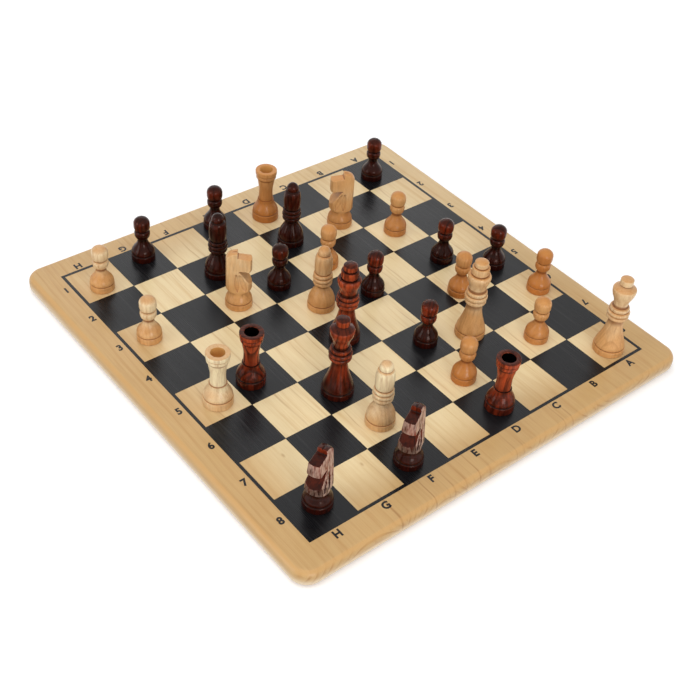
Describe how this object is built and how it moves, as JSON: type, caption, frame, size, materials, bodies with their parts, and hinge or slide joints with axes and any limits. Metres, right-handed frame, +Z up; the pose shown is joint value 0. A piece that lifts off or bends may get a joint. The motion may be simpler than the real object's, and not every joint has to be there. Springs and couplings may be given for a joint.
{
  "type": "chess set",
  "caption": "Flat wooden chess board with black printed squares and rounded edges, with a full set of light and dark turned pieces standing on it in mid-game.",
  "frame": {"origin": "middle of the board's underside", "axes": "+Z up out of the playing face, -Y towards the edge along rank 8, +X towards file A"},
  "size_m": [0.2928, 0.2928, 0.0672],
  "materials": {
    "board_pine": "clear satin lacquer",
    "black_print": "black screen-printed ink under a clear coat",
    "light_wood": "clear satin lacquer",
    "dark_wood": "red-brown gloss lacquer"
  },
  "bodies": {
    "board": {"stave_1": "board_pine", "stave_2": "board_pine", "stave_3": "board_pine", "stave_4": "board_pine", "stave_5": "board_pine", "black_print": "black_print"},
    "light_pawn_1": {"light_pawn_1": "light_wood"},
    "light_pawn_2": {"light_pawn_2": "light_wood"},
    "light_pawn_3": {"light_pawn_3": "light_wood"},
    "light_pawn_4": {"light_pawn_4": "light_wood"},
    "light_pawn_5": {"light_pawn_5": "light_wood"},
    "light_pawn_6": {"light_pawn_6": "light_wood"},
    "light_pawn_7": {"light_pawn_7": "light_wood"},
    "light_pawn_8": {"light_pawn_8": "light_wood"},
    "light_rook_1": {"light_rook_1": "light_wood"},
    "light_rook_2": {"light_rook_2": "light_wood"},
    "light_knight_1": {"light_knight_1": "light_wood"},
    "light_knight_2": {"light_knight_2": "light_wood"},
    "light_bishop_1": {"light_bishop_1": "light_wood"},
    "light_bishop_2": {"light_bishop_2": "light_wood"},
    "light_queen": {"light_queen": "light_wood"},
    "light_king": {"light_king": "light_wood"},
    "dark_pawn_1": {"dark_pawn_1": "dark_wood"},
    "dark_pawn_2": {"dark_pawn_2": "dark_wood"},
    "dark_pawn_3": {"dark_pawn_3": "dark_wood"},
    "dark_pawn_4": {"dark_pawn_4": "dark_wood"},
    "dark_pawn_5": {"dark_pawn_5": "dark_wood"},
    "dark_pawn_6": {"dark_pawn_6": "dark_wood"},
    "dark_pawn_7": {"dark_pawn_7": "dark_wood"},
    "dark_pawn_8": {"dark_pawn_8": "dark_wood"},
    "dark_rook_1": {"dark_rook_1": "dark_wood"},
    "dark_rook_2": {"dark_rook_2": "dark_wood"},
    "dark_knight_1": {"dark_knight_1": "dark_wood"},
    "dark_knight_2": {"dark_knight_2": "dark_wood"},
    "dark_bishop_1": {"dark_bishop_1": "dark_wood"},
    "dark_bishop_2": {"dark_bishop_2": "dark_wood"},
    "dark_queen": {"dark_queen": "dark_wood"},
    "dark_king": {"dark_king": "dark_wood"}
  },
  "joints": [
    {"name": "light_pawn_1_lift", "type": "slide", "parent": "board", "child": "light_pawn_1", "axis": [0, 0, 1], "range_m": [0, 0.08]},
    {"name": "light_pawn_2_lift", "type": "slide", "parent": "board", "child": "light_pawn_2", "axis": [0, 0, 1], "range_m": [0, 0.08]},
    {"name": "light_pawn_3_lift", "type": "slide", "parent": "board", "child": "light_pawn_3", "axis": [0, 0, 1], "range_m": [0, 0.08]},
    {"name": "light_pawn_4_lift", "type": "slide", "parent": "board", "child": "light_pawn_4", "axis": [0, 0, 1], "range_m": [0, 0.08]},
    {"name": "light_pawn_5_lift", "type": "slide", "parent": "board", "child": "light_pawn_5", "axis": [0, 0, 1], "range_m": [0, 0.08]},
    {"name": "light_pawn_6_lift", "type": "slide", "parent": "board", "child": "light_pawn_6", "axis": [0, 0, 1], "range_m": [0, 0.08]},
    {"name": "light_pawn_7_lift", "type": "slide", "parent": "board", "child": "light_pawn_7", "axis": [0, 0, 1], "range_m": [0, 0.08]},
    {"name": "light_pawn_8_lift", "type": "slide", "parent": "board", "child": "light_pawn_8", "axis": [0, 0, 1], "range_m": [0, 0.08]},
    {"name": "light_rook_1_lift", "type": "slide", "parent": "board", "child": "light_rook_1", "axis": [0, 0, 1], "range_m": [0, 0.08]},
    {"name": "light_rook_2_lift", "type": "slide", "parent": "board", "child": "light_rook_2", "axis": [0, 0, 1], "range_m": [0, 0.08]},
    {"name": "light_knight_1_lift", "type": "slide", "parent": "board", "child": "light_knight_1", "axis": [0, 0, 1], "range_m": [0, 0.08]},
    {"name": "light_knight_2_lift", "type": "slide", "parent": "board", "child": "light_knight_2", "axis": [0, 0, 1], "range_m": [0, 0.08]},
    {"name": "light_bishop_1_lift", "type": "slide", "parent": "board", "child": "light_bishop_1", "axis": [0, 0, 1], "range_m": [0, 0.08]},
    {"name": "light_bishop_2_lift", "type": "slide", "parent": "board", "child": "light_bishop_2", "axis": [0, 0, 1], "range_m": [0, 0.08]},
    {"name": "light_queen_lift", "type": "slide", "parent": "board", "child": "light_queen", "axis": [0, 0, 1], "range_m": [0, 0.08]},
    {"name": "light_king_lift", "type": "slide", "parent": "board", "child": "light_king", "axis": [0, 0, 1], "range_m": [0, 0.08]},
    {"name": "dark_pawn_1_lift", "type": "slide", "parent": "board", "child": "dark_pawn_1", "axis": [0, 0, 1], "range_m": [0, 0.08]},
    {"name": "dark_pawn_2_lift", "type": "slide", "parent": "board", "child": "dark_pawn_2", "axis": [0, 0, 1], "range_m": [0, 0.08]},
    {"name": "dark_pawn_3_lift", "type": "slide", "parent": "board", "child": "dark_pawn_3", "axis": [0, 0, 1], "range_m": [0, 0.08]},
    {"name": "dark_pawn_4_lift", "type": "slide", "parent": "board", "child": "dark_pawn_4", "axis": [0, 0, 1], "range_m": [0, 0.08]},
    {"name": "dark_pawn_5_lift", "type": "slide", "parent": "board", "child": "dark_pawn_5", "axis": [0, 0, 1], "range_m": [0, 0.08]},
    {"name": "dark_pawn_6_lift", "type": "slide", "parent": "board", "child": "dark_pawn_6", "axis": [0, 0, 1], "range_m": [0, 0.08]},
    {"name": "dark_pawn_7_lift", "type": "slide", "parent": "board", "child": "dark_pawn_7", "axis": [0, 0, 1], "range_m": [0, 0.08]},
    {"name": "dark_pawn_8_lift", "type": "slide", "parent": "board", "child": "dark_pawn_8", "axis": [0, 0, 1], "range_m": [0, 0.08]},
    {"name": "dark_rook_1_lift", "type": "slide", "parent": "board", "child": "dark_rook_1", "axis": [0, 0, 1], "range_m": [0, 0.08]},
    {"name": "dark_rook_2_lift", "type": "slide", "parent": "board", "child": "dark_rook_2", "axis": [0, 0, 1], "range_m": [0, 0.08]},
    {"name": "dark_knight_1_lift", "type": "slide", "parent": "board", "child": "dark_knight_1", "axis": [0, 0, 1], "range_m": [0, 0.08]},
    {"name": "dark_knight_2_lift", "type": "slide", "parent": "board", "child": "dark_knight_2", "axis": [0, 0, 1], "range_m": [0, 0.08]},
    {"name": "dark_bishop_1_lift", "type": "slide", "parent": "board", "child": "dark_bishop_1", "axis": [0, 0, 1], "range_m": [0, 0.08]},
    {"name": "dark_bishop_2_lift", "type": "slide", "parent": "board", "child": "dark_bishop_2", "axis": [0, 0, 1], "range_m": [0, 0.08]},
    {"name": "dark_queen_lift", "type": "slide", "parent": "board", "child": "dark_queen", "axis": [0, 0, 1], "range_m": [0, 0.08]},
    {"name": "dark_king_lift", "type": "slide", "parent": "board", "child": "dark_king", "axis": [0, 0, 1], "range_m": [0, 0.08]}
  ]
}
